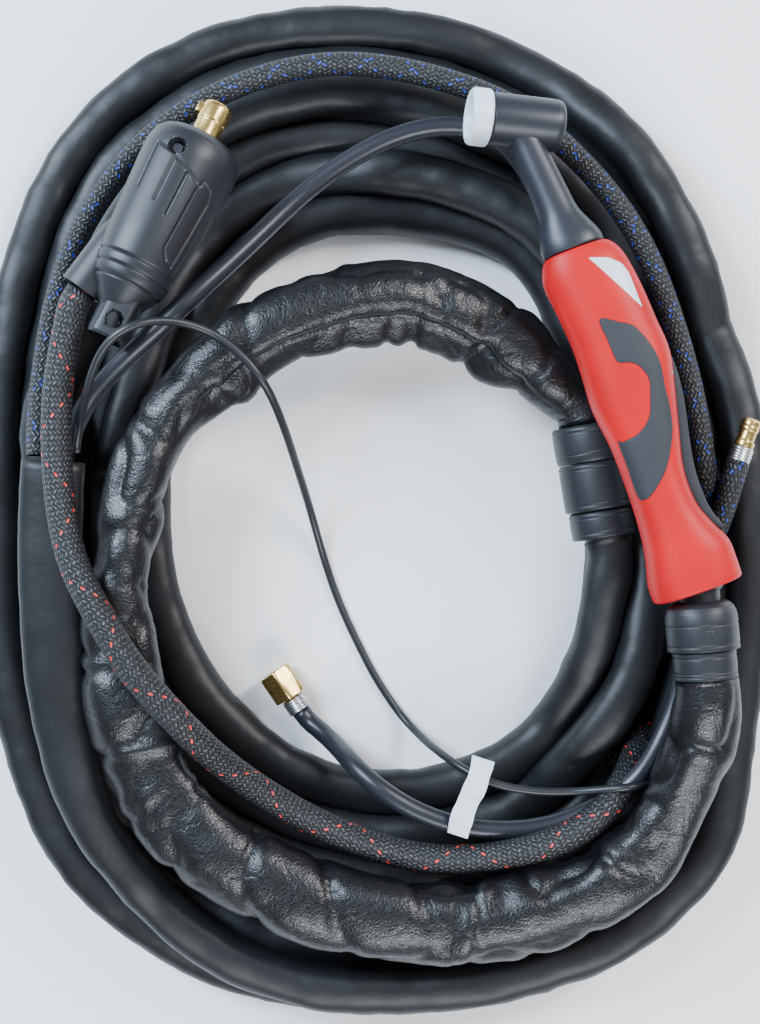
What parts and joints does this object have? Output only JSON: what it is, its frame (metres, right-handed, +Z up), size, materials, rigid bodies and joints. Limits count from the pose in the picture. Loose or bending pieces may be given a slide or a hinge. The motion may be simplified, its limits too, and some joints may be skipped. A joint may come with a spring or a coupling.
{
  "type": "water-cooled tig welding torch",
  "caption": "TIG welding torch with angled head, swivel handle and trigger, on a coiled cable package with hoses, gas nut and power connector.",
  "frame": {"origin": "on the floor under the coiled package, below the torch's swivel end, on the coil's flat underside", "axes": "+Z up from the floor; +Y from the swivel towards the torch's head, the long way of the coil as pictured; +X to the right of the coil seen from above"},
  "size_m": [0.4146, 0.541, 0.1093],
  "materials": {
    "red_plastic": "satin moulded red plastic",
    "grip_rubber": "matt dark grey soft grip",
    "head_rubber": "satin dark moulded rubber",
    "black_plastic": "satin black moulded plastic",
    "gasket": "milky white, slightly translucent insulator",
    "brass": "turned brass",
    "steel": "bright zinc-plated steel",
    "copper": "drawn copper tube",
    "label": "blank pale film",
    "leather": "pebbled black leather with a soft sheen",
    "sleeve": "satin black tubular sleeve",
    "red_hose": "black braid with red tracer strands",
    "blue_hose": "black braid with blue tracer strands",
    "gas_hose": "smooth satin dark hose",
    "switch_cable": "smooth dark twin cable"
  },
  "bodies": {
    "cable_set": {"swivel_ball": "black_plastic", "swivel_collar": "black_plastic", "cover_ring_front": "black_plastic", "leather_cover": "leather", "coupler_ring_leather": "black_plastic", "coupler_body": "black_plastic", "coupler_ring_sleeve": "black_plastic", "sleeve_coil": "sleeve", "sleeve_end": "sleeve", "blue_hose": "blue_hose", "blue_hose_end": "blue_hose", "water_ferrule": "steel", "water_nipple": "brass", "red_hose": "red_hose", "gas_hose": "gas_hose", "gas_ferrule": "steel", "gas_nipple": "brass", "switch_cable": "switch_cable", "switch_plug": "black_plastic", "hose_tag": "label", "connector_shell": "black_plastic", "connector_screw_1": "steel", "connector_screw_2": "steel", "connector_pin": "brass"},
    "seat_swing": {"seat_ring_inner": "black_plastic"},
    "seat_lift": {"seat_ring_outer": "black_plastic"},
    "torch": {"head_body": "brass", "head_cover": "head_rubber", "cup_gasket": "gasket", "power_water_tube": "copper", "gas_tube": "copper", "water_inlet_tube": "copper", "power_water_lead": "gas_hose", "gas_lead": "gas_hose", "water_inlet_lead": "gas_hose", "handle_shell_top": "red_plastic", "handle_shell_bottom": "red_plastic", "grip_inlay_top": "grip_rubber", "grip_inlay_bottom": "grip_rubber", "label_plate": "label", "handle_screw_1": "steel", "handle_screw_2": "steel", "handle_screw_3": "steel", "trigger_pin": "steel", "trigger_spring": "steel", "microswitch": "black_plastic"},
    "trigger": {"trigger": "grip_rubber"},
    "gas_union_nut": {"gas_union_nut": "brass"}
  },
  "joints": [
    {"name": "swivel_swing", "type": "hinge", "parent": "cable_set", "child": "seat_swing", "pos_m": [-0.0104, -0.0483, 0.087], "axis": [0, 0, 1], "range_deg": [-34, 4]},
    {"name": "swivel_lift", "type": "hinge", "parent": "seat_swing", "child": "seat_lift", "pos_m": [-0.0104, -0.0483, 0.087], "axis": [0.9415, 0.3371, 0], "range_deg": [0, 10]},
    {"name": "swivel_roll", "type": "hinge", "parent": "seat_lift", "child": "torch", "pos_m": [-0.0104, -0.0483, 0.087], "axis": [-0.3371, 0.9415, 0], "range_deg": [-8, 8]},
    {"name": "trigger_press", "type": "hinge", "parent": "torch", "child": "trigger", "pos_m": [-0.02529, 0.04727, 0.087], "axis": [0, 0, -1], "range_deg": [0, 2.2], "stiffness_Nm_per_rad": 1.5, "springref_deg": -2.86},
    {"name": "gas_nut_spin", "type": "hinge", "parent": "cable_set", "child": "gas_union_nut", "pos_m": [-0.21725, -0.11235, 0.0106], "axis": [-0.5592, 0.829, 0], "continuous": true}
  ]
}
